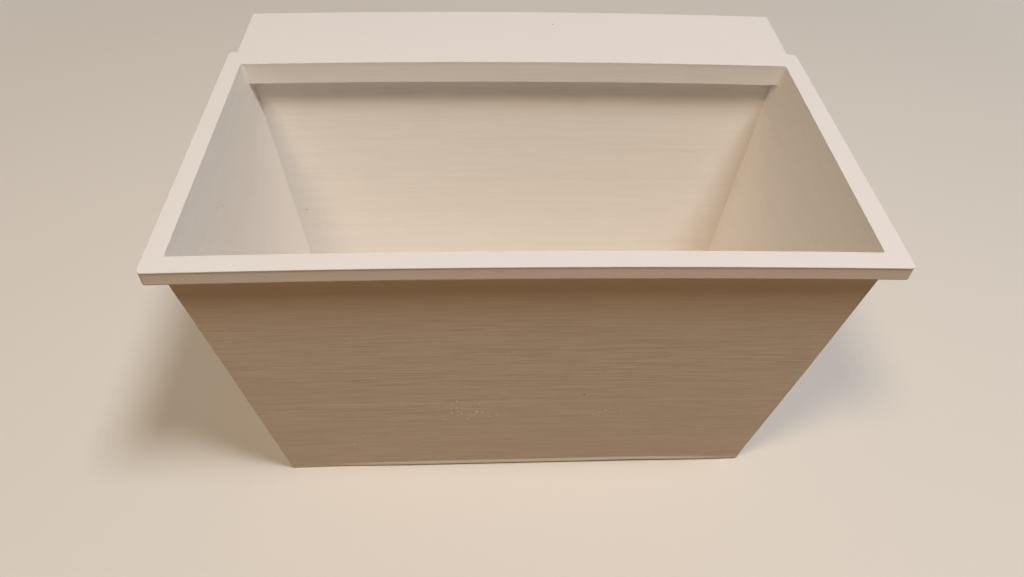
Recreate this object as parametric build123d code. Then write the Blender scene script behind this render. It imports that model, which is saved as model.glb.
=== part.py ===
from build123d import *
import os

# Open storage tub with a loose rim frame that drops onto its top edge.
# Both pieces are thin printed plastic. Lengths are in millimetres, +Z is up,
# the front faces -Y, and the origin is the middle of the tub's underside.

# Whole object: from the surface it stands on to the top of the rim
overall_height = 115.0

# Rim frame: a flat ring with a wide shelf behind it
rim_width = 200.0
rim_depth = 109.4
rim_thickness = 4.8
rim_land = 6.0
rear_land = 8.1
rim_corner_radius = 1.5
rim_edge_radius = 0.5
opening_corner_radius = 0.8
shelf_thickness = 4.0
shelf_reach = 28.4
shelf_inset = 3.0
shelf_corner_radius = 1.0

# Collar under the rim, which plugs into the top of the tub
collar_drop = 2.9
skirt_share = 0.5

# Tub: a tapered shell, closed below
wall = 2.4
floor_thickness = 2.4
base_width = 165.0
base_depth = 84.6
base_setback = 14.0
rear_recess = 5.7
tub_corner_radius = 0.8
cavity_corner_radius = 0.4

# Fits
fit_clearance = 0.2
seat_gap = 0.2
overrun = 1.0

# Heights
rim_underside = overall_height - rim_thickness
shoulder_level = rim_underside - collar_drop
ledge_level = shoulder_level - seat_gap

# Places from front to back
base_front = -base_depth / 2
base_rear = base_depth / 2
rim_front = base_front - base_setback
rim_rear = rim_front + rim_depth
opening_front = rim_front + rim_land
opening_rear = rim_rear - rear_land
shelf_rear = rim_rear + shelf_reach

# The tapered walls run on into the rim: their inner faces end at the top edge of the
# opening in front and at the sides, and stand behind the lip at the rear.
opening_width = rim_width - 2 * rim_land
top_width = opening_width + 2 * wall
top_front = opening_front - wall
top_rear = opening_rear + rear_recess + wall

# Half-lap between the two pieces: skirt inside, tub's edge outside
skirt = wall * skirt_share
edge_wall = wall - skirt - fit_clearance


def section(width, front, rear, level, radius):
    """Flat rectangle centred on X, between two places in Y, at one height."""
    depth = rear - front
    shape = RectangleRounded(width, depth, radius) if radius else Rectangle(width, depth)
    return Pos(0, (front + rear) / 2, level) * shape


def between(low, high, share):
    return low + (high - low) * share


def taper(level, inset):
    """Width, front and rear of the tub's tapered wall at one height, drawn in by inset."""
    share = level / overall_height
    width = between(base_width, top_width, share) - 2 * inset
    front = between(base_front, top_front, share) + inset
    rear = between(base_rear, top_rear, share) - inset
    return width, front, rear


def taper_section(level, inset, radius):
    width, front, rear = taper(level, inset)
    return section(width, front, rear, level, radius)


def lap_section(level, inset):
    """Outline of the wall at the shoulder, drawn in by inset: the lap's faces stand upright."""
    width, front, rear = taper(shoulder_level, inset)
    return section(width, front, rear, level, 0)


def opening_section(level):
    """The frame's opening: in line with the tub's inner faces, upright at the rear lip."""
    width, front, rear = taper(level, wall)
    return section(width, front, opening_rear, level, opening_corner_radius)


def make_tub():
    outer = loft(
        [taper_section(0, 0, tub_corner_radius), taper_section(rim_underside, 0, tub_corner_radius)],
        ruled=True,
    )
    cavity = loft(
        [
            taper_section(floor_thickness, wall, cavity_corner_radius),
            taper_section(ledge_level, wall, cavity_corner_radius),
        ],
        ruled=True,
    )
    rebate = extrude(lap_section(ledge_level, edge_wall), seat_gap + collar_drop + overrun)
    return outer - cavity - rebate


def make_rim_frame():
    shelf_width = rim_width - 2 * shelf_inset
    ring = section(rim_width, rim_front, rim_rear, rim_underside, rim_corner_radius)
    shelf = section(
        shelf_width, opening_rear, shelf_rear, overall_height - shelf_thickness, shelf_corner_radius
    )
    plate = extrude(ring, rim_thickness) + extrude(shelf, shelf_thickness)
    top_face = plate.faces().sort_by(Axis.Z)[-1]
    plate = fillet(top_face.outer_wire().edges(), rim_edge_radius)
    collar = extrude(lap_section(shoulder_level, wall - skirt), collar_drop)
    opening = loft(
        [opening_section(shoulder_level - overrun), opening_section(overall_height + overrun)],
        ruled=True,
    )
    return plate + collar - opening


nodes = {"tub": make_tub(), "rim_frame": make_rim_frame()}
os.makedirs("parts", exist_ok=True)
for name, solid in nodes.items():
    export_step(solid, f"parts/{name}.step")
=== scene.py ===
import bmesh
import bpy
from math import cos, pi, radians, sin
from mathutils import Matrix, Vector
from random import Random


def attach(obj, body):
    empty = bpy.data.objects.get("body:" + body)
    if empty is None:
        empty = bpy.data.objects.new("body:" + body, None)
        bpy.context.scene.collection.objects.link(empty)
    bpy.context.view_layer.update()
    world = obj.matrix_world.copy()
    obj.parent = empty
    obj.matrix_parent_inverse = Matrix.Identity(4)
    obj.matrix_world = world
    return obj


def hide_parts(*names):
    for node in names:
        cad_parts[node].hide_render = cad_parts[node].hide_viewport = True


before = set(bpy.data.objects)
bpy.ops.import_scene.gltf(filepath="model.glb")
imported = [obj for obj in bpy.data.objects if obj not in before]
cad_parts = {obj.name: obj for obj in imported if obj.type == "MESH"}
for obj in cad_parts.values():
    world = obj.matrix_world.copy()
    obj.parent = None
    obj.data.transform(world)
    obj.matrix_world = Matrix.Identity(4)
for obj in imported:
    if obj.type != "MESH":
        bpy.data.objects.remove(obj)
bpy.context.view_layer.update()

# All sizes are in metres, in the part's frame: the tub stands on Z = 0 and its front faces -Y.
MM = 0.001
AXIS_X = Vector((1, 0, 0))
AXIS_Y = Vector((0, 1, 0))
AXIS_Z = Vector((0, 0, 1))
NEAR = 0.01 * MM

# Heights
TOP = 115.0 * MM
SHELF_UNDERSIDE = 111.0 * MM
RIM_UNDERSIDE = 110.4 * MM
COLLAR_BOTTOM = 107.3 * MM
LEDGE = 107.27 * MM
FLOOR_TOP = 2.4 * MM

# Rim plate, at the outermost line of its edges
RIM_SIDE = 100.0 * MM
RIM_LEFT = -99.75 * MM
RIM_FRONT = -56.3 * MM
RIM_REAR = 53.3 * MM
RIM_CORNER = 1.4 * MM
SHELF_SIDE = 97.0 * MM
SHELF_REAR = 81.5 * MM
SHELF_CORNER = 1.0 * MM
NOTCH_CORNER = 0.4 * MM
OPENING_SIDE = 94.15 * MM
OPENING_FRONT = -50.3 * MM
OPENING_REAR = 45.0 * MM
OPENING_CORNER = 0.8 * MM

# Tub: the outer faces at the base, and where they would meet the rim's top
BASE_SIDE = 82.5 * MM
BASE_END = 42.3 * MM
TOP_SIDE = 96.4 * MM
TOP_FRONT = -52.7 * MM
TOP_REAR = 53.1 * MM
WALL = 2.4 * MM
LAP_EDGE = 1.0 * MM
COLLAR_INSET = 1.1 * MM
TUB_CORNER = 0.8 * MM
CAVITY_CORNER = 0.4 * MM
CREASE = 0.35 * MM

# The first layers of a print spread on the bed: how far they stand proud of the walls, and
# pairs of a depth from the bed in millimetres and the share of the spread there
RIM_SPREAD = 0.15 * MM
OPENING_SPREAD = 0.08 * MM
RIM_SPREAD_STEPS = ((0.05, 0.55), (0.12, 0.85), (0.22, 1.0), (0.36, 0.9), (0.6, 0.5), (0.9, 0.0))
FOOT_SPREAD = 0.55 * MM
FOOT_SPREAD_STEPS = ((0.0, 0.7), (0.4, 1.0), (1.0, 0.8), (1.6, 0.4), (2.2, 0.0))
FOOT_FADE_LEFT = (-82.0 * MM, -36.0 * MM)
FOOT_FADE_RIGHT = (92.0 * MM, 52.0 * MM)

# The foot's front edge: how far it stands in at its left and right ends, how far its right end
# lifts, and how far its length between two faded ends stands in and lifts besides
FOOT_HEIGHT = 3.0 * MM
FOOT_LEFT_IN = -0.4 * MM
FOOT_RIGHT_IN = 0.6 * MM
FOOT_LIFT = 0.4 * MM
FOOT_ARCH_IN = 0.35 * MM
FOOT_ARCH_UP = 0.4 * MM
FOOT_ARCH_LEFT = (-81.0 * MM, -62.0 * MM)
FOOT_ARCH_RIGHT = (76.0 * MM, 46.0 * MM)

# The rim's right edge runs out by this much from the rear corner to the middle of its length
RIGHT_RUN = 0.6 * MM
RIGHT_RUN_ENDS = (54.0 * MM, 32.0 * MM)

# The ends of the print sank by this much at the rim's two sides
SAG = 1.4 * MM
SAG_CUT = 10.0 * MM

# Tiny blobs of plastic on the front wall: the middle of each cluster, its spread and its count
BLOB_CLUSTERS = (
    ((-19.0 * MM, 36.5 * MM), (5.5 * MM, 3.5 * MM), 26),
    ((24.0 * MM, 35.0 * MM), (3.5 * MM, 2.5 * MM), 12),
    ((-57.0 * MM, 22.4 * MM), (3.0 * MM, 2.5 * MM), 6),
)
BLOB_RADIUS = (0.1 * MM, 0.18 * MM)
BLOB_SEED = 5

# Edges: the rounding of the sharp ones, the close seam that stays unrounded, and the bevels' steps
EDGE_ROUNDING = 0.2 * MM
SEAM_BAND = 1.0 * MM
SEAM_PROUD = 0.02 * MM
SHARP_ANGLE = radians(60)
SMOOTH_ANGLE = radians(50)
ROUND_PROFILE = 0.5
RIM_CORNER_STEPS = 6
CORNER_STEPS = 4
NOTCH_STEPS = 3
SMALL_STEPS = 2

# A face looks along an axis when that part of its normal is larger than this
FACING = 0.9


def add_block(name, low, high):
    """A block between two corners, with its place in its mesh, open for editing."""
    low = Vector(low)
    high = Vector(high)
    bpy.ops.object.select_all(action="DESELECT")
    bpy.ops.mesh.primitive_cube_add(size=1, location=(low + high) / 2, scale=high - low)
    bpy.ops.object.transform_apply(location=True, rotation=True, scale=True)
    block = bpy.context.object
    block.name = name
    block.data.name = name
    bpy.ops.object.mode_set(mode="EDIT")
    return block


def pick_faces(wanted):
    """Selects only the faces whose middle and normal pass the test."""
    bpy.ops.mesh.select_mode(type="FACE")
    bpy.ops.mesh.select_all(action="DESELECT")
    mesh = bpy.context.object.data
    for face in bmesh.from_edit_mesh(mesh).faces:
        if wanted(face.calc_center_median(), face.normal):
            face.select_set(True)
    bmesh.update_edit_mesh(mesh)


def pick_edges(wanted):
    """Selects only the edges that pass the test."""
    bpy.ops.mesh.select_mode(type="EDGE")
    bpy.ops.mesh.select_all(action="DESELECT")
    mesh = bpy.context.object.data
    for edge in bmesh.from_edit_mesh(mesh).edges:
        if wanted(edge):
            edge.select_set(True)
    bmesh.update_edit_mesh(mesh)


def pick_points(wanted):
    """Selects only the vertices whose place passes the test."""
    bpy.ops.mesh.select_mode(type="VERT")
    bpy.ops.mesh.select_all(action="DESELECT")
    mesh = bpy.context.object.data
    for vertex in bmesh.from_edit_mesh(mesh).verts:
        if wanted(vertex.co):
            vertex.select_set(True)
    bmesh.update_edit_mesh(mesh)


def cut_across(axis, places):
    """Cuts right through the piece at places along one axis."""
    for place in places:
        bpy.ops.mesh.select_all(action="SELECT")
        bpy.ops.mesh.bisect(plane_co=axis * place, plane_no=axis, threshold=NEAR)


def extrude_picked(x=0.0, y=0.0, z=0.0):
    bpy.ops.mesh.extrude_region_move(TRANSFORM_OT_translate={"value": (x, y, z)})


def round_picked(radius, steps):
    bpy.ops.mesh.bevel(offset=radius, segments=steps, affect="EDGES", profile=ROUND_PROFILE)


def round_uprights(wanted, radius, steps):
    """Rounds the upright edges whose lower and upper ends pass the test."""

    def upright(edge):
        low, high = sorted((v.co for v in edge.verts), key=lambda co: co.z)
        return high.z - low.z > NEAR and wanted(low, high)

    pick_edges(upright)
    round_picked(radius, steps)


def stands_at(side, *ends):
    """A test for upright edges at two mirrored places in X and some places in Y."""

    def wanted(low, high):
        return abs(abs(low.x) - side) < NEAR and any(abs(low.y - end) < NEAR for end in ends)

    return wanted


def step_share(steps, depth):
    """Share of the spread at one of the levels in steps, and 0 elsewhere."""
    for level, share in steps:
        if abs(depth - level * MM) < NEAR:
            return share
    return 0.0


def fade(value, start, end):
    """0 at start, 1 at end, with a soft run between."""
    share = min(max((value - start) / (end - start), 0.0), 1.0)
    return share * share * (3 - 2 * share)


def push(piece, name, amount, direction, share_of):
    """Moves each vertex by amount times its share, along its normal or along an axis."""
    group = piece.vertex_groups.new(name=name)
    for vertex in piece.data.vertices:
        group.add([vertex.index], share_of(vertex.co), "REPLACE")
    displace = piece.modifiers.new(name, "DISPLACE")
    displace.direction = direction
    displace.strength = amount
    displace.mid_level = 0.0
    displace.vertex_group = group.name
    bpy.ops.object.modifier_apply(modifier=name)
    piece.vertex_groups.clear()


def sag_share(co):
    """The sinking grows with the square of the distance from the middle, and with the height."""
    return (co.x / RIM_SIDE) ** 2 * co.z / TOP


def sag_places(half_width):
    """Places for the cuts that let a piece bend along X."""
    count = int(half_width / SAG_CUT)
    return [step * SAG_CUT for step in range(-count, count + 1)]


def finish_edges(piece):
    """Softens the sharp edges, but for the close seam between the pieces, and sets the shading."""

    def sharp(edge):
        middle = (edge.verts[0].co + edge.verts[1].co) / 2
        off_seam = abs(middle.z + SAG * sag_share(middle) - COLLAR_BOTTOM) > SEAM_BAND
        return off_seam and edge.calc_face_angle(0.0) > SHARP_ANGLE

    bpy.ops.object.mode_set(mode="EDIT")
    pick_edges(sharp)
    round_picked(EDGE_ROUNDING, SMALL_STEPS)
    bpy.ops.object.mode_set(mode="OBJECT")
    bpy.ops.object.shade_smooth_by_angle(angle=SMOOTH_ANGLE)
    flats = piece.modifiers.new("flats", "WEIGHTED_NORMAL")
    flats.keep_sharp = True
    bpy.ops.object.modifier_apply(modifier="flats")


def taper_at(level):
    """Half width, front and rear of the tub's outer wall at one height."""
    share = level / TOP
    side = BASE_SIDE + (TOP_SIDE - BASE_SIDE) * share
    front = -BASE_END + (TOP_FRONT + BASE_END) * share
    rear = BASE_END + (TOP_REAR - BASE_END) * share
    return side, front, rear


def inside(outline, inset):
    side, front, rear = outline
    return side - inset, front + inset, rear - inset


def fit_picked(old, new, level):
    """Brings what is picked from one rectangle to another, each a half width, front and rear."""
    old_side, old_front, old_rear = old
    new_side, new_front, new_rear = new
    scale = (new_side / old_side, (new_rear - new_front) / (old_rear - old_front), 1)
    middle = (0, (old_front + old_rear) / 2, level)
    bpy.ops.transform.resize(value=scale, center_override=middle)
    bpy.ops.transform.translate(value=(0, (new_front + new_rear - old_front - old_rear) / 2, 0))


# The rim plate before its first layers spread
PLATE_LEFT = RIM_LEFT + RIM_SPREAD
PLATE_RIGHT = RIM_SIDE - RIM_SPREAD
PLATE_FRONT = RIM_FRONT + RIM_SPREAD
PLATE_REAR = RIM_REAR - RIM_SPREAD
PLATE_SHELF_SIDE = SHELF_SIDE - RIM_SPREAD
PLATE_SHELF_REAR = SHELF_REAR - RIM_SPREAD
HOLE_SIDE = OPENING_SIDE + OPENING_SPREAD
HOLE_FRONT = OPENING_FRONT - OPENING_SPREAD
HOLE_REAR = OPENING_REAR + OPENING_SPREAD
COLLAR_SIDE, COLLAR_FRONT, COLLAR_REAR = inside(taper_at(COLLAR_BOTTOM), COLLAR_INSET)


def in_hole(place):
    across = abs(place.x) < HOLE_SIDE + NEAR
    return across and HOLE_FRONT - NEAR < place.y < HOLE_REAR + NEAR


def over_collar(place):
    return abs(place.x) < COLLAR_SIDE and COLLAR_FRONT < place.y < COLLAR_REAR


def make_ring():
    """A block with rounded corners and a hole, cut along the lines of the shelf and the collar."""
    start = (PLATE_LEFT, PLATE_FRONT, SHELF_UNDERSIDE)
    plate = add_block("rim_plate", start, (PLATE_RIGHT, PLATE_REAR, TOP))
    round_uprights(lambda low, high: True, RIM_CORNER - RIM_SPREAD, RIM_CORNER_STEPS)
    lines = (HOLE_SIDE, COLLAR_SIDE, PLATE_SHELF_SIDE)
    cut_across(AXIS_X, [-line for line in lines] + list(lines))
    cut_across(AXIS_Y, (COLLAR_FRONT, HOLE_FRONT, HOLE_REAR, COLLAR_REAR))
    pick_faces(lambda place, normal: in_hole(place) and abs(normal.z) > FACING)
    bpy.ops.mesh.delete(type="FACE")
    pick_edges(lambda edge: edge.is_boundary)
    bpy.ops.mesh.bridge_edge_loops()
    return plate


def add_shelf():
    """Draws the shelf out of the ring's rear, then the ring down to its own underside."""

    def behind(place, normal):
        at_rear = normal.y > FACING and place.y > PLATE_REAR - NEAR
        return at_rear and abs(place.x) < PLATE_SHELF_SIDE

    pick_faces(behind)
    extrude_picked(y=PLATE_SHELF_REAR - PLATE_REAR)
    pick_faces(lambda place, normal: normal.z < -FACING and place.y < PLATE_REAR)
    extrude_picked(z=RIM_UNDERSIDE - SHELF_UNDERSIDE)


def add_collar():
    pick_faces(lambda place, normal: normal.z < -FACING and over_collar(place))
    extrude_picked(z=COLLAR_BOTTOM - RIM_UNDERSIDE)


def round_plate_corners():
    hole_corners = stands_at(HOLE_SIDE, HOLE_FRONT, HOLE_REAR)
    shelf_corners = stands_at(PLATE_SHELF_SIDE, PLATE_SHELF_REAR)
    round_uprights(hole_corners, OPENING_CORNER, CORNER_STEPS)
    round_uprights(shelf_corners, SHELF_CORNER - RIM_SPREAD, CORNER_STEPS)
    round_uprights(stands_at(PLATE_SHELF_SIDE, PLATE_REAR), NOTCH_CORNER, NOTCH_STEPS)


def slope_hole():
    """Slopes the hole's front and sides so that they run on into the tub's inner faces."""
    hole = (HOLE_SIDE, HOLE_FRONT, HOLE_REAR)
    ease_side = HOLE_SIDE - (TOP_SIDE - WALL)
    ease_front = HOLE_FRONT - (TOP_FRONT + WALL)
    for level in (SHELF_UNDERSIDE, RIM_UNDERSIDE, COLLAR_BOTTOM):
        ease = (level - COLLAR_BOTTOM) / (TOP - COLLAR_BOTTOM)
        flush_side, flush_front = inside(taper_at(level), WALL + SEAM_PROUD)[:2]
        inner = (flush_side + ease_side * ease, flush_front + ease_front * ease, HOLE_REAR)
        pick_points(lambda co: abs(co.z - level) < NEAR and in_hole(co))
        fit_picked(hole, inner, level)


def bend_plate(plate):
    """Spreads the plate's first layers, runs its right edge out and lets its ends sink."""

    def spread_share(co):
        share = step_share(RIM_SPREAD_STEPS, TOP - co.z)
        return share * OPENING_SPREAD / RIM_SPREAD if over_collar(co) else share

    def right_share(co):
        return fade(co.y, *RIGHT_RUN_ENDS) * (co.x > COLLAR_SIDE + NEAR)

    push(plate, "spread", RIM_SPREAD, "NORMAL", spread_share)
    push(plate, "right", RIGHT_RUN, "X", right_share)
    push(plate, "sag", -SAG, "Z", sag_share)


def make_rim_plate():
    """Flat ring with the shelf behind it and the collar below it."""
    plate = make_ring()
    add_shelf()
    add_collar()
    round_plate_corners()
    slope_hole()
    cut_across(AXIS_Z, [TOP - depth * MM for depth, share in RIM_SPREAD_STEPS])
    cut_across(AXIS_X, sag_places(PLATE_RIGHT))
    bpy.ops.object.mode_set(mode="OBJECT")
    bend_plate(plate)
    finish_edges(plate)
    return plate


def make_shell():
    """Tapered shell with a floor, and a thin edge that laps round the collar."""
    base = taper_at(0)
    brim = taper_at(RIM_UNDERSIDE)
    lap = inside(taper_at(COLLAR_BOTTOM), LAP_EDGE)
    mouth = inside(taper_at(LEDGE), WALL)
    bottom = inside(taper_at(FLOOR_TOP), WALL)
    tub = add_block("tub_shell", (-BASE_SIDE, -BASE_END, 0), (BASE_SIDE, BASE_END, RIM_UNDERSIDE))

    pick_faces(lambda place, normal: normal.z > FACING)
    fit_picked(base, brim, RIM_UNDERSIDE)
    bpy.ops.mesh.inset(thickness=LAP_EDGE, depth=0)
    fit_picked(inside(brim, LAP_EDGE), lap, RIM_UNDERSIDE)
    extrude_picked(z=LEDGE - RIM_UNDERSIDE)
    bpy.ops.mesh.inset(thickness=WALL - LAP_EDGE, depth=0)
    fit_picked(inside(lap, WALL - LAP_EDGE), mouth, LEDGE)
    extrude_picked(z=FLOOR_TOP - LEDGE)
    fit_picked(mouth, bottom, FLOOR_TOP)

    round_uprights(lambda low, high: low.z < NEAR, TUB_CORNER, CORNER_STEPS)
    round_uprights(lambda low, high: abs(low.z - FLOOR_TOP) < NEAR, CAVITY_CORNER, SMALL_STEPS)
    return tub


def in_foot(co):
    return co.y < -BASE_END + WALL and co.z < FOOT_HEIGHT


def along_foot(co):
    """0 at the foot's left end, 1 at its right end."""
    return min(max((co.x + BASE_SIDE) / (2 * BASE_SIDE), 0.0), 1.0)


def shape_foot(tub):
    """Spreads the first layers along the front, and bends the foot's front edge."""

    def spread_share(co):
        ends = fade(co.x, *FOOT_FADE_LEFT) * fade(co.x, *FOOT_FADE_RIGHT)
        return step_share(FOOT_SPREAD_STEPS, co.z) * ends * in_foot(co)

    def left_share(co):
        return (1 - along_foot(co)) * in_foot(co)

    def right_share(co):
        return along_foot(co) * in_foot(co)

    def arch_share(co):
        return fade(co.x, *FOOT_ARCH_LEFT) * fade(co.x, *FOOT_ARCH_RIGHT) * in_foot(co)

    push(tub, "foot", -FOOT_SPREAD, "Y", spread_share)
    push(tub, "left_end", FOOT_LEFT_IN, "Y", left_share)
    push(tub, "right_end", FOOT_RIGHT_IN, "Y", right_share)
    push(tub, "arch_in", FOOT_ARCH_IN, "Y", arch_share)
    push(tub, "arch_up", FOOT_ARCH_UP, "Z", arch_share)
    push(tub, "lift", FOOT_LIFT, "Z", right_share)


def crease_rear_corners(tub):
    """Deepens the two upright corners at the cavity's rear."""

    def crease_share(co):
        side, front, rear = inside(taper_at(co.z), WALL)
        gaps = (side - abs(co.x), rear - co.y)
        in_corner = all(NEAR < gap < CAVITY_CORNER - NEAR for gap in gaps)
        return co.z > FLOOR_TOP - NEAR and in_corner

    push(tub, "crease", -CREASE, "NORMAL", crease_share)


def add_blobs():
    """Half-sunk little balls in clusters on the tub's front wall."""
    chance = Random(BLOB_SEED)
    bpy.ops.object.mode_set(mode="EDIT")
    for middle, spread, count in BLOB_CLUSTERS:
        for number in range(count):
            x = chance.gauss(middle[0], spread[0])
            z = chance.gauss(middle[1], spread[1])
            place = (x, taper_at(z)[1], z)
            radius = chance.uniform(*BLOB_RADIUS)
            bpy.ops.mesh.primitive_ico_sphere_add(radius=radius, location=place)
    bpy.ops.object.mode_set(mode="OBJECT")


def make_tub_shell():
    """The tub with its uneven foot, creased corners, blobs and sunken ends."""
    tub = make_shell()
    cut_across(AXIS_Z, [depth * MM for depth, share in FOOT_SPREAD_STEPS if depth > 0])
    cut_across(AXIS_X, sag_places(TOP_SIDE))
    bpy.ops.object.mode_set(mode="OBJECT")
    shape_foot(tub)
    crease_rear_corners(tub)
    add_blobs()
    push(tub, "sag", -SAG, "Z", sag_share)
    finish_edges(tub)
    return tub


class Wire:
    """An output of a node. Arithmetic on it adds Math nodes to its tree."""

    def __init__(self, socket):
        self.socket = socket

    def other(self, name):
        """Another output of the same node."""
        return Wire(self.socket.node.outputs[name])

    def maths(self, operation, *terms):
        recipe = Recipe(self.socket.id_data)
        return recipe.node("ShaderNodeMath", {"operation": operation}, dict(enumerate(terms)))

    def __add__(self, term):
        return self.maths("ADD", self, term)

    def __radd__(self, term):
        return self.maths("ADD", term, self)

    def __sub__(self, term):
        return self.maths("SUBTRACT", self, term)

    def __rsub__(self, term):
        return self.maths("SUBTRACT", term, self)

    def __mul__(self, term):
        return self.maths("MULTIPLY", self, term)

    def __rmul__(self, term):
        return self.maths("MULTIPLY", term, self)

    def __lt__(self, term):
        return self.maths("LESS_THAN", self, term)


# Share of a dot's and of a speck's radius where its edge begins, and where a dot's edge ends
DOT_CORE = 0.6
DOT_END = 1.4
SPECK_CORE = 0.5


class Recipe:
    """The node tree of one material, and the mixtures that the finishes share."""

    def __init__(self, tree):
        self.tree = tree

    def node(self, kind, settings=None, sockets=None, output=0):
        """Adds a node: its settings first, then a value or a wire for each socket."""
        made = self.tree.nodes.new(kind)
        for name, value in (settings or {}).items():
            setattr(made, name, value)
        for name, value in (sockets or {}).items():
            if isinstance(value, Wire):
                self.tree.links.new(value.socket, made.inputs[name])
            else:
                made.inputs[name].default_value = value
        return Wire(made.outputs[output]) if made.outputs else None

    def place(self):
        return self.node("ShaderNodeTexCoord", output="Object")

    def stretch(self, vector, scale):
        settings = {"operation": "MULTIPLY"}
        return self.node("ShaderNodeVectorMath", settings, {0: vector, 1: scale})

    def noise(self, vector, detail=2.0, roughness=0.5):
        sockets = {"Vector": vector, "Scale": 1.0, "Detail": detail, "Roughness": roughness}
        return self.node("ShaderNodeTexNoise", None, sockets)

    def soft_step(self, value, start, end):
        """0 up to start, 1 from end on, with a soft run between."""
        settings = {"interpolation_type": "SMOOTHSTEP"}
        sockets = {"Value": value, "From Min": start, "From Max": end}
        return self.node("ShaderNodeMapRange", settings, sockets)

    def mix(self, share, first, second):
        """A colour between two colours."""
        sockets = {0: share, 6: first, 7: second}
        return self.node("ShaderNodeMix", {"data_type": "RGBA"}, sockets, output=2)

    def away_from(self, vector, spot):
        settings = {"operation": "DISTANCE"}
        return self.node("ShaderNodeVectorMath", settings, {0: vector, 1: spot}, output="Value")

    def dots(self, vector, cell, radius):
        """Round dots at random places, about one in each cell."""
        sockets = {"Vector": vector, "Scale": 1.0 / cell}
        away = self.node("ShaderNodeTexVoronoi", None, sockets, output="Distance")
        return 1.0 - self.soft_step(away, DOT_CORE * radius / cell, DOT_END * radius / cell)

    def specks(self, vector, spots):
        """Mask of single specks, each a place and a radius."""
        mask = 0.0
        for spot, radius in spots:
            away = self.away_from(vector, spot)
            mask = mask + (1.0 - self.soft_step(away, SPECK_CORE * radius, radius))
        return mask

    def bump(self, height, strength, distance):
        sockets = {"Strength": strength, "Distance": distance, "Height": height}
        return self.node("ShaderNodeBump", None, sockets)

    def shade(self, colour, roughness, normal):
        """Closes the recipe with a plain plastic shader."""
        sockets = {"Base Color": colour, "Roughness": roughness, "Normal": normal}
        sockets["IOR"] = PLASTIC_IOR
        sockets["Specular IOR Level"] = PLASTIC_SHEEN
        shader = self.node("ShaderNodeBsdfPrincipled", None, sockets)
        self.node("ShaderNodeOutputMaterial", None, {"Surface": shader})


def new_recipe(name):
    material = bpy.data.materials.new(name)
    material.use_nodes = True
    material.node_tree.nodes.clear()
    return material, Recipe(material.node_tree)


PLASTIC_IOR = 1.46
PLASTIC_SHEEN = 0.2
WALL_PLASTIC = (0.915, 0.865, 0.81, 1.0)
WALL_LIGHT = (0.94, 0.90, 0.85, 1.0)
WALL_DARK = (0.79, 0.73, 0.67, 1.0)
# Painted highlight for the proud layer's upward face
PROUD_LINE_HIGHLIGHT = (0.975, 0.945, 0.905, 1.0)
# The bed face's colours are a darker copy of the wall plastic: painted shade on the lit top faces
SHADED_BED_PLASTIC = (0.825, 0.785, 0.77, 1.0)
BED_LIGHT = (0.85, 0.815, 0.80, 1.0)
SPECK = (0.22, 0.17, 0.13, 1.0)

# Streaks and wider bands along the layers: the stretch of their noise, and the span of it that
# turns lighter or darker, with the share of the other colour
STREAK_STRETCH = (55, 55, 1700)
STREAK_ROUGHNESS = 0.6
STREAK_LIGHT_SPAN = (0.35, 0.65)
STREAK_LIGHT_SHARE = 0.5
STREAK_DARK_SPAN = (0.25, 0.6)
STREAK_DARK_SHARE = 0.12
BAND_STRETCH = (4, 4, 260)
BAND_DARK_SPAN = (0.45, 0.8)
BAND_DARK_SHARE = 0.12

# The front wall's outer face is rougher than the others, most of all between these heights
FRONT_SKIN = -41.0 * MM
ROUGH_FROM = (15.0 * MM, 45.0 * MM)
ROUGH_TO = (80.0 * MM, 110.0 * MM)
ROUGH_LEAST = 0.7

# One proud layer crosses the front wall; its band is painted lighter, a painted highlight where
# its upward face would catch the light
LINE_LOWER_EDGE = (43.0 * MM, 43.3 * MM)
LINE_UPPER_EDGE = (43.7 * MM, 44.0 * MM)

# Relief of the walls, as shares of its depth, and how dull they are
LAYER = 0.2 * MM
WALL_RELIEF = 0.1 * MM
STREAK_RELIEF = 0.15
STREAK_RELIEF_ROUGH = 1.7
BAND_RELIEF = 0.06
RIDGE_RELIEF = 0.015
WALL_DULLNESS = 0.52
WALL_DULLNESS_RANGE = 0.16

# Relief and cloudiness of the face that lay on the bed
CLOUD_STRETCH = (60, 60, 60)
CLOUD_DETAIL = 3.0
CLOUD_SPAN = (0.35, 0.75)
CLOUD_SHARE = 0.3
GRAIN_STRETCH = (2600, 2600, 2600)
BED_RELIEF = 0.02 * MM
BED_RELIEF_STRENGTH = 0.5
BED_DULLNESS = 0.5
BED_DULLNESS_RANGE = 0.12

# Dark specks at known places, and dust strewn over cells of one size
WALL_SPECKS = (
    ((20.4 * MM, -46.6 * MM, 47.1 * MM), 0.75 * MM),
    ((-82.2 * MM, 44.6 * MM, 49.8 * MM), 0.4 * MM),
    ((-91.8 * MM, -10.0 * MM, 96.9 * MM), 0.4 * MM),
)
SHELF_SPECKS = (
    ((14.1 * MM, 72.1 * MM, 115.0 * MM), 0.5 * MM),
)
WALL_SPECK_SHARE = 0.65
SHELF_SPECK_SHARE = 0.6
WALL_DUST_CELL = 14 * MM
WALL_DUST_RADIUS = 0.25 * MM
BED_DUST_CELL = 17 * MM
BED_DUST_RADIUS = 0.3 * MM
DUST_SHARE = 0.15


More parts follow.
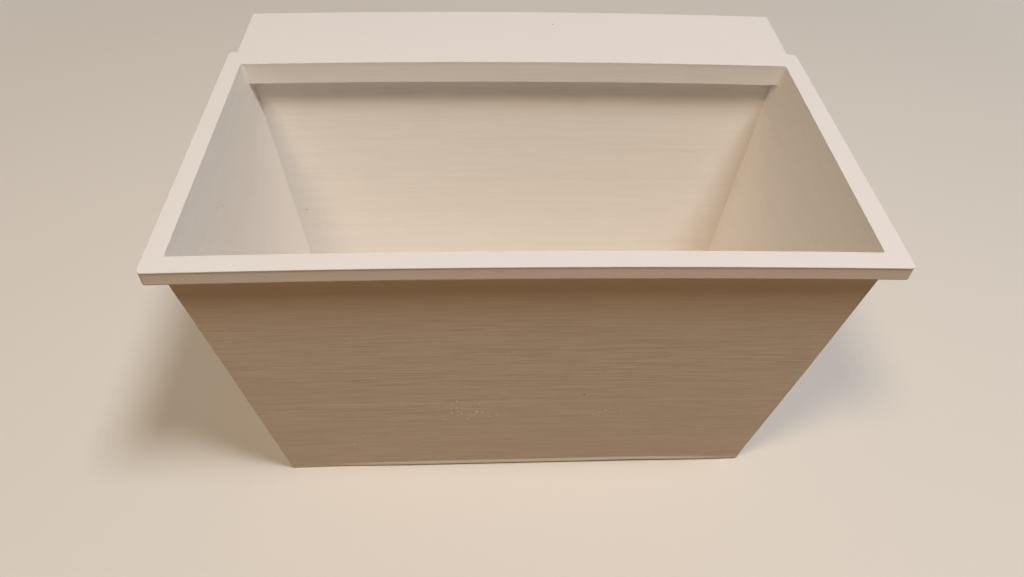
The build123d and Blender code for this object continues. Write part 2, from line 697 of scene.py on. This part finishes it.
def layered_plastic(name):
    """Printed wall: level layers, some a little prouder or duller than others, dark specks, and a
    painted highlight along one proud layer.
    """
    material, recipe = new_recipe(name)
    place = recipe.place()
    axes = recipe.node("ShaderNodeSeparateXYZ", None, {0: place})
    x = axes.other("X")
    y = axes.other("Y")
    z = axes.other("Z")
    level = z + (SAG / RIM_SIDE ** 2 / TOP) * x * x * z
    unbent = recipe.node("ShaderNodeCombineXYZ", None, {"X": x, "Y": y, "Z": level})

    streaks = recipe.noise(recipe.stretch(unbent, STREAK_STRETCH), roughness=STREAK_ROUGHNESS)
    bands = recipe.noise(recipe.stretch(unbent, BAND_STRETCH))
    ridges = level.maths("SINE", level * (2 * pi / LAYER))
    front = y < FRONT_SKIN
    above = recipe.soft_step(level, *ROUGH_FROM)
    below = 1.0 - recipe.soft_step(level, *ROUGH_TO)
    rough = (ROUGH_LEAST + (1 - ROUGH_LEAST) * above) * below * front
    # Band of one proud layer, painted lighter below as a highlight
    line = recipe.soft_step(level, *LINE_LOWER_EDGE) - recipe.soft_step(level, *LINE_UPPER_EDGE)
    marks = recipe.specks(place, WALL_SPECKS)
    dust = recipe.dots(place, WALL_DUST_CELL, WALL_DUST_RADIUS)

    light = recipe.soft_step(streaks, *STREAK_LIGHT_SPAN) * STREAK_LIGHT_SHARE
    dark = 1.0 - recipe.soft_step(streaks, *STREAK_DARK_SPAN)
    dark = dark * (STREAK_DARK_SHARE + (1 - STREAK_DARK_SHARE) * rough)
    dull = recipe.soft_step(bands, *BAND_DARK_SPAN) * BAND_DARK_SHARE
    colour = recipe.mix(light, WALL_PLASTIC, WALL_LIGHT)
    colour = recipe.mix(dark, colour, WALL_DARK)
    colour = recipe.mix(dull, colour, WALL_DARK)
    # Painted highlight along the proud layer on the front wall
    colour = recipe.mix(line * front, colour, PROUD_LINE_HIGHLIGHT)
    colour = recipe.mix(marks * WALL_SPECK_SHARE + dust * DUST_SHARE, colour, SPECK)

    height = streaks * (STREAK_RELIEF + STREAK_RELIEF_ROUGH * rough)
    height = height + bands * BAND_RELIEF + ridges * RIDGE_RELIEF
    dullness = WALL_DULLNESS + WALL_DULLNESS_RANGE * streaks
    recipe.shade(colour, dullness, recipe.bump(height, 1.0, WALL_RELIEF))
    return material


def shaded_bed_face_plastic(name):
    """Face that was printed on the bed: smooth and matte, a little cloudy, with specks, and darker
    than the walls as painted shade.
    """
    material, recipe = new_recipe(name)
    place = recipe.place()
    clouds = recipe.noise(recipe.stretch(place, CLOUD_STRETCH), CLOUD_DETAIL)
    grain = recipe.noise(recipe.stretch(place, GRAIN_STRETCH))
    marks = recipe.specks(place, SHELF_SPECKS)
    dust = recipe.dots(place, BED_DUST_CELL, BED_DUST_RADIUS)

    cloudy = recipe.soft_step(clouds, *CLOUD_SPAN) * CLOUD_SHARE
    colour = recipe.mix(cloudy, SHADED_BED_PLASTIC, BED_LIGHT)
    colour = recipe.mix(marks * SHELF_SPECK_SHARE + dust * DUST_SHARE, colour, SPECK)
    dullness = BED_DULLNESS + BED_DULLNESS_RANGE * clouds
    recipe.shade(colour, dullness, recipe.bump(grain, BED_RELIEF_STRENGTH, BED_RELIEF))
    return material


BED_FACE_TILT = 0.15
BED_FACE_DEPTH = 0.5 * MM


def give_bed_face(plate, material):
    """Gives the second material to the plate's top and its rounded edge."""

    def on_top(place, normal):
        return normal.z > BED_FACE_TILT and place.z > TOP - SAG - BED_FACE_DEPTH

    plate.data.materials.append(material)
    bpy.ops.object.mode_set(mode="EDIT")
    pick_faces(on_top)
    plate.active_material_index = 1
    bpy.ops.object.material_slot_assign()
    bpy.ops.object.mode_set(mode="OBJECT")


BACKGROUND_COLOUR = (0.78, 0.745, 0.70, 1.0)
FLOOR_COLOUR = (0.80, 0.76, 0.71, 1.0)
FLOOR_PALER = (0.83, 0.79, 0.74, 1.0)
FLOOR_BOUNCE = (0.30, 0.165, 0.06, 1.0)
FLOOR_HALF = 3.0
FLOOR_LIT = (0.35, 0.95)
FLOOR_STRETCH = (3, 3, 3)
FLOOR_DULLNESS = 0.7


def seen_share(recipe):
    """1 for rays that show a surface, straight or by a mirror or glass, and 0 for its light."""
    straight = recipe.node("ShaderNodeLightPath", output="Is Camera Ray")
    mirrored = straight.other("Is Glossy Ray")
    through = straight.other("Is Transmission Ray")
    return straight.maths("MAXIMUM", straight, mirrored.maths("MAXIMUM", mirrored, through))


def pale_floor(name):
    """Pale floor that fades into the background and throws a warmer, dimmer light upwards."""
    material, recipe = new_recipe(name)
    place = recipe.place()
    seen = seen_share(recipe)
    clouds = recipe.noise(recipe.stretch(place, FLOOR_STRETCH))
    pale = recipe.mix(clouds, FLOOR_COLOUR, FLOOR_PALER)
    colour = recipe.mix(seen, FLOOR_BOUNCE, pale)
    far = recipe.soft_step(recipe.away_from(place, (0, 0, 0)), *FLOOR_LIT)
    surface = {"Base Color": colour, "Roughness": FLOOR_DULLNESS}
    lit = recipe.node("ShaderNodeBsdfPrincipled", None, surface)
    glow = {"Color": BACKGROUND_COLOUR, "Strength": 1.0}
    background = recipe.node("ShaderNodeEmission", None, glow)
    shader = recipe.node("ShaderNodeMixShader", None, {0: far * seen, 1: lit, 2: background})
    recipe.node("ShaderNodeOutputMaterial", None, {"Surface": shader})
    return material


def make_floor():
    bpy.ops.object.select_all(action="DESELECT")
    bpy.ops.mesh.primitive_plane_add(size=2 * FLOOR_HALF)
    floor = bpy.context.object
    floor.name = "floor"
    floor.data.materials.append(pale_floor("pale_floor"))


LAMP_AIM = Vector((0.0, 0.0, 100.0)) * MM
KEY_PLACE = Vector((390.0, -280.0, 1275.0)) * MM
KEY_SIZE = (0.35, 0.23)
KEY_POWER = 9.1
KEY_COLOUR = (0.985, 0.985, 1.0)
FILL_PLACE = Vector((-420.0, -490.0, 1300.0)) * MM
FILL_SIZE = (0.3, 0.3)
FILL_POWER = 6.9
FILL_COLOUR = (1.0, 0.79, 0.55)
SURROUND_FRONT = (0.006, 0.005, 0.004, 1.0)
SURROUND_BEHIND = (0.26, 0.25, 0.24, 1.0)
SURROUND_FADE = (0.1, 0.8)


def add_lamp(name, place, size, power, colour):
    """Soft oval lamp that looks at the object."""
    lamp = bpy.data.lights.new(name, "AREA")
    lamp.shape = "ELLIPSE"
    lamp.size, lamp.size_y = size
    lamp.energy = power
    lamp.color = colour
    holder = bpy.data.objects.new(name, lamp)
    holder.location = place
    holder.rotation_euler = (LAMP_AIM - place).to_track_quat("-Z", "Y").to_euler()
    bpy.context.scene.collection.objects.link(holder)


def make_lamps():
    """A key lamp to the right and a warm fill to the left, both in front."""
    add_lamp("key_lamp", KEY_PLACE, KEY_SIZE, KEY_POWER, KEY_COLOUR)
    add_lamp("fill_lamp", FILL_PLACE, FILL_SIZE, FILL_POWER, FILL_COLOUR)


def make_surround():
    """Light from all round, lighter from behind, with the plain background where it is seen."""
    world = bpy.data.worlds.new("surround")
    world.use_nodes = True
    world.node_tree.nodes.clear()
    recipe = Recipe(world.node_tree)
    direction = recipe.node("ShaderNodeTexCoord", output="Generated")
    backward = recipe.node("ShaderNodeSeparateXYZ", None, {0: direction}, output="Y")
    behind = recipe.soft_step(backward, *SURROUND_FADE)
    surround = recipe.mix(behind, SURROUND_FRONT, SURROUND_BEHIND)
    colour = recipe.mix(seen_share(recipe), surround, BACKGROUND_COLOUR)
    light = recipe.node("ShaderNodeBackground", None, {"Color": colour, "Strength": 1.0})
    recipe.node("ShaderNodeOutputWorld", None, {"Surface": light})
    bpy.context.scene.world = world


CAMERA_PLACE = Vector((-13.30, -199.45, 253.98)) * MM
CAMERA_PITCH = 0.797
CAMERA_YAW = 0.058
CAMERA_ROLL = 0.034
CAMERA_LENS = 27.65
CAMERA_SENSOR = 36.0
CAMERA_NEAREST = 0.01
CAMERA_FARTHEST = 20.0


def make_camera():
    """Camera at the photograph's viewing angle, looking down into the tub."""
    reach = cos(CAMERA_PITCH)
    ahead = Vector((sin(CAMERA_YAW) * reach, cos(CAMERA_YAW) * reach, -sin(CAMERA_PITCH)))
    level = Vector((cos(CAMERA_YAW), -sin(CAMERA_YAW), 0))
    upward = level.cross(ahead)
    right = cos(CAMERA_ROLL) * level + sin(CAMERA_ROLL) * upward
    up = cos(CAMERA_ROLL) * upward - sin(CAMERA_ROLL) * level
    lens = bpy.data.cameras.new("camera")
    lens.sensor_fit = "HORIZONTAL"
    lens.sensor_width = CAMERA_SENSOR
    lens.lens = CAMERA_LENS
    lens.clip_start = CAMERA_NEAREST
    lens.clip_end = CAMERA_FARTHEST
    camera = bpy.data.objects.new("camera", lens)
    turn = Matrix((right, up, -ahead)).transposed()
    camera.matrix_world = Matrix.Translation(CAMERA_PLACE) @ turn.to_4x4()
    bpy.context.scene.collection.objects.link(camera)
    bpy.context.scene.camera = camera


make_camera()
make_lamps()
make_surround()
make_floor()

wall_finish = layered_plastic("layered_plastic")
tub = make_tub_shell()
tub.data.materials.append(wall_finish)
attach(tub, "tub")
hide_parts("tub")

plate = make_rim_plate()
plate.data.materials.append(wall_finish)
give_bed_face(plate, shaded_bed_face_plastic("shaded_bed_face_plastic"))
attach(plate, "rim_frame")
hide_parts("rim_frame")

bpy.context.scene.view_settings.view_transform = "Standard"
